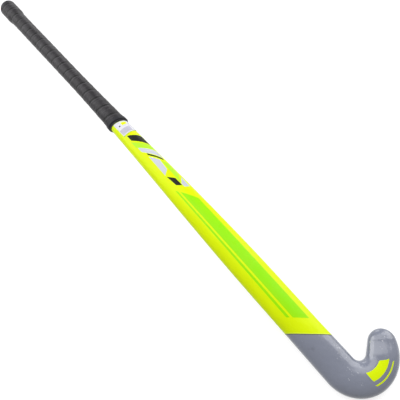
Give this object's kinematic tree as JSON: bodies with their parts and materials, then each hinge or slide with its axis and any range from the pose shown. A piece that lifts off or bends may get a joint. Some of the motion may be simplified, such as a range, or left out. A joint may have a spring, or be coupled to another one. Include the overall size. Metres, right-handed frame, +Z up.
{
  "type": "indoor hockey stick",
  "caption": "Right-handed indoor hockey stick: bowed D-section shaft, thin hooked head with a flat playing face, wound cushion grip. Lies face down.",
  "frame": {"origin": "on the ground under the middle of the stick's bounding box, with the stick lying on its playing face", "axes": "+X along the stick from the butt to the base of the head, +Y across it from the heel edge to the toe, +Z up, out of the rounded back"},
  "size_m": [0.927, 0.109, 0.05],
  "materials": {
    "grey_laminate": "cool grey composite laminate under a clear gloss coat",
    "core_foam": "closed-cell foam, sealed inside the head",
    "yellow_laminate": "fluorescent yellow paint with green bands on composite laminate",
    "tube_laminate": "bare black composite laminate, sealed inside the shaft",
    "plug_foam": "closed-cell foam, sealed inside the handle",
    "cap_rubber": "matte black moulded cap",
    "grip_tape": "matte black polyurethane cushion tape",
    "tape_film": "black vinyl finishing tape",
    "label_film": "bare silver-white sticker"
  },
  "bodies": {
    "root": {"head_shell": "grey_laminate", "head_core": "core_foam", "shaft_shell": "yellow_laminate", "toe_side_tube": "tube_laminate", "heel_side_tube": "tube_laminate", "butt_plug": "plug_foam", "butt_cap": "cap_rubber", "grip_wrap": "grip_tape", "finishing_tape": "tape_film", "blank_label": "label_film"}
  },
  "joints": []
}
